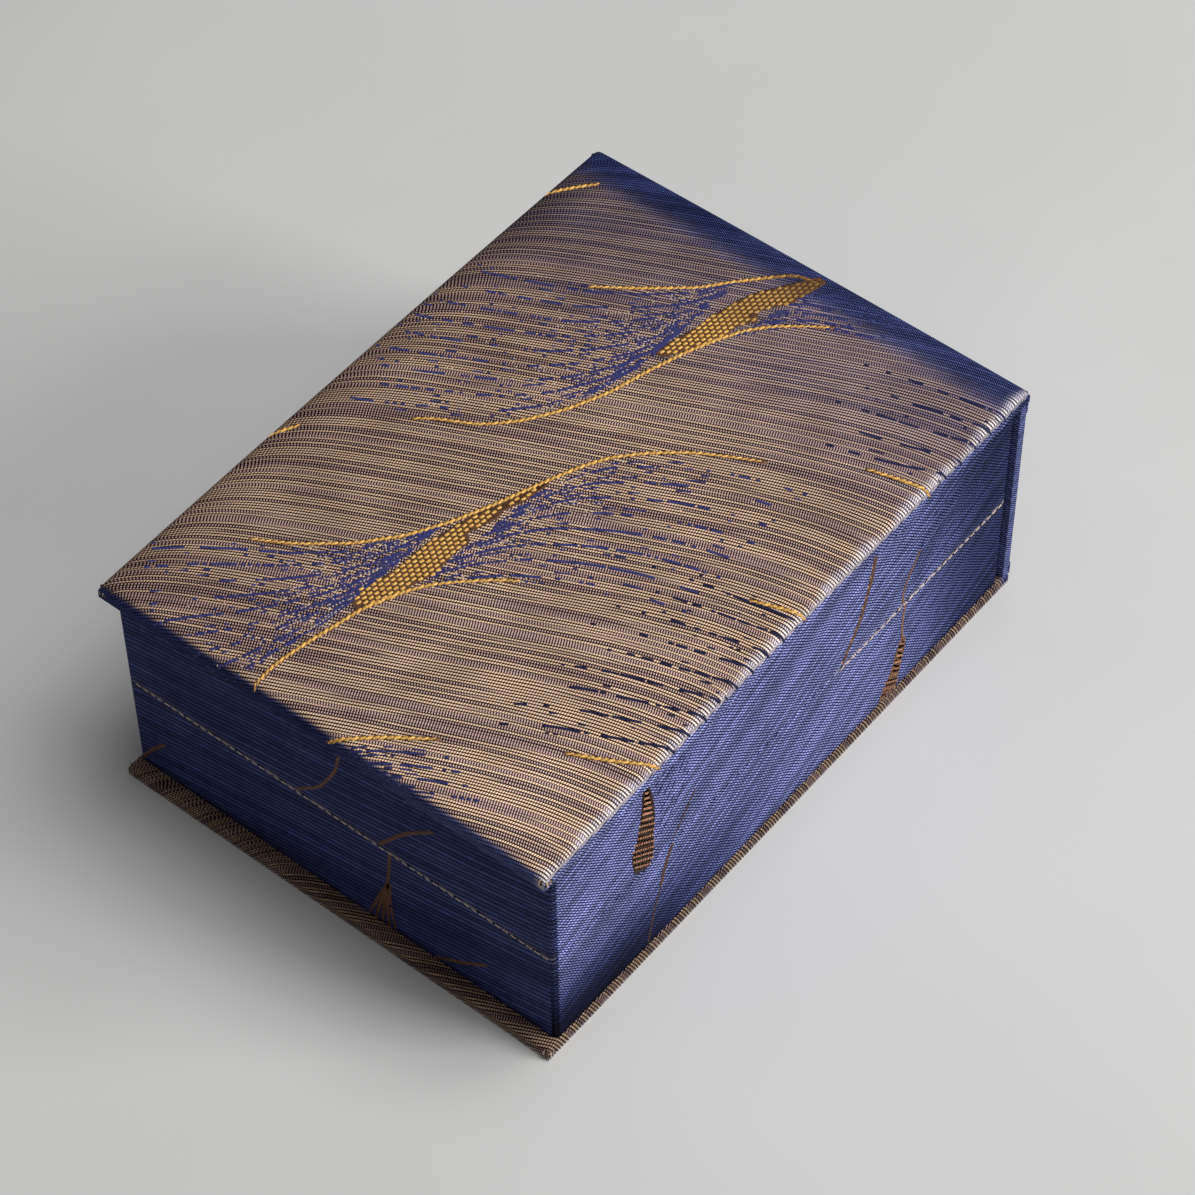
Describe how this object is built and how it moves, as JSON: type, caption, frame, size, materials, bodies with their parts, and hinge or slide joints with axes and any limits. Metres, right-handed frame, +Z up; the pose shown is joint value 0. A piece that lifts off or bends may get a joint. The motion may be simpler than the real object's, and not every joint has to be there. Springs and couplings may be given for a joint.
{
  "type": "brocade gift box",
  "caption": "Rectangular book-style keepsake box in blue and gold brocade: padded cover, cloth-hinged spine and base, with a lined shell in the lid that meets a lined tray.",
  "frame": {"origin": "under the middle of the base, on the surface that the box stands on", "axes": "+Z up; +X from the opening edge to the spine; +Y to the left of someone who opens the box"},
  "size_m": [0.135, 0.098, 0.0543],
  "materials": {
    "brocade": "satin",
    "satin": "satin",
    "greyboard": "matte",
    "foam": "matte",
    "magnet": "satin",
    "keeper_steel": "satin"
  },
  "bodies": {
    "base": {"base_board": "greyboard", "base_cover_cloth": "brocade", "tray_front_wall": "greyboard", "tray_back_wall": "greyboard", "tray_left_wall": "greyboard", "tray_right_wall": "greyboard", "rim_magnets": "magnet", "tray_wall_cloth": "brocade", "tray_lining": "satin", "cushion_card": "greyboard", "cushion_foam": "foam", "cushion_satin": "satin", "lower_hinge_cloth": "brocade"},
    "spine": {"spine_board": "greyboard", "spine_cover_cloth": "brocade", "spine_lining": "satin", "upper_hinge_cloth": "brocade"},
    "lid": {"cover_board": "greyboard", "cover_foam": "foam", "cover_cloth": "brocade", "lid_front_wall": "greyboard", "lid_back_wall": "greyboard", "lid_left_wall": "greyboard", "lid_right_wall": "greyboard", "rim_keepers": "keeper_steel", "lid_wall_cloth": "brocade", "lid_lining": "satin", "lid_pad_card": "greyboard", "lid_pad_foam": "foam", "lid_pad_satin": "satin"}
  },
  "joints": [
    {"name": "spine_hinge", "type": "hinge", "parent": "base", "child": "spine", "pos_m": [0.0675, 0, 0.00278], "axis": [0, 1, 0], "range_deg": [0, 87.5], "deforming": ["lower_hinge_cloth"]},
    {"name": "lid_hinge", "type": "hinge", "parent": "spine", "child": "lid", "pos_m": [0.0675, 0, 0.04983], "axis": [0, 1, 0], "range_deg": [0, 92.5], "deforming": ["upper_hinge_cloth"]}
  ]
}
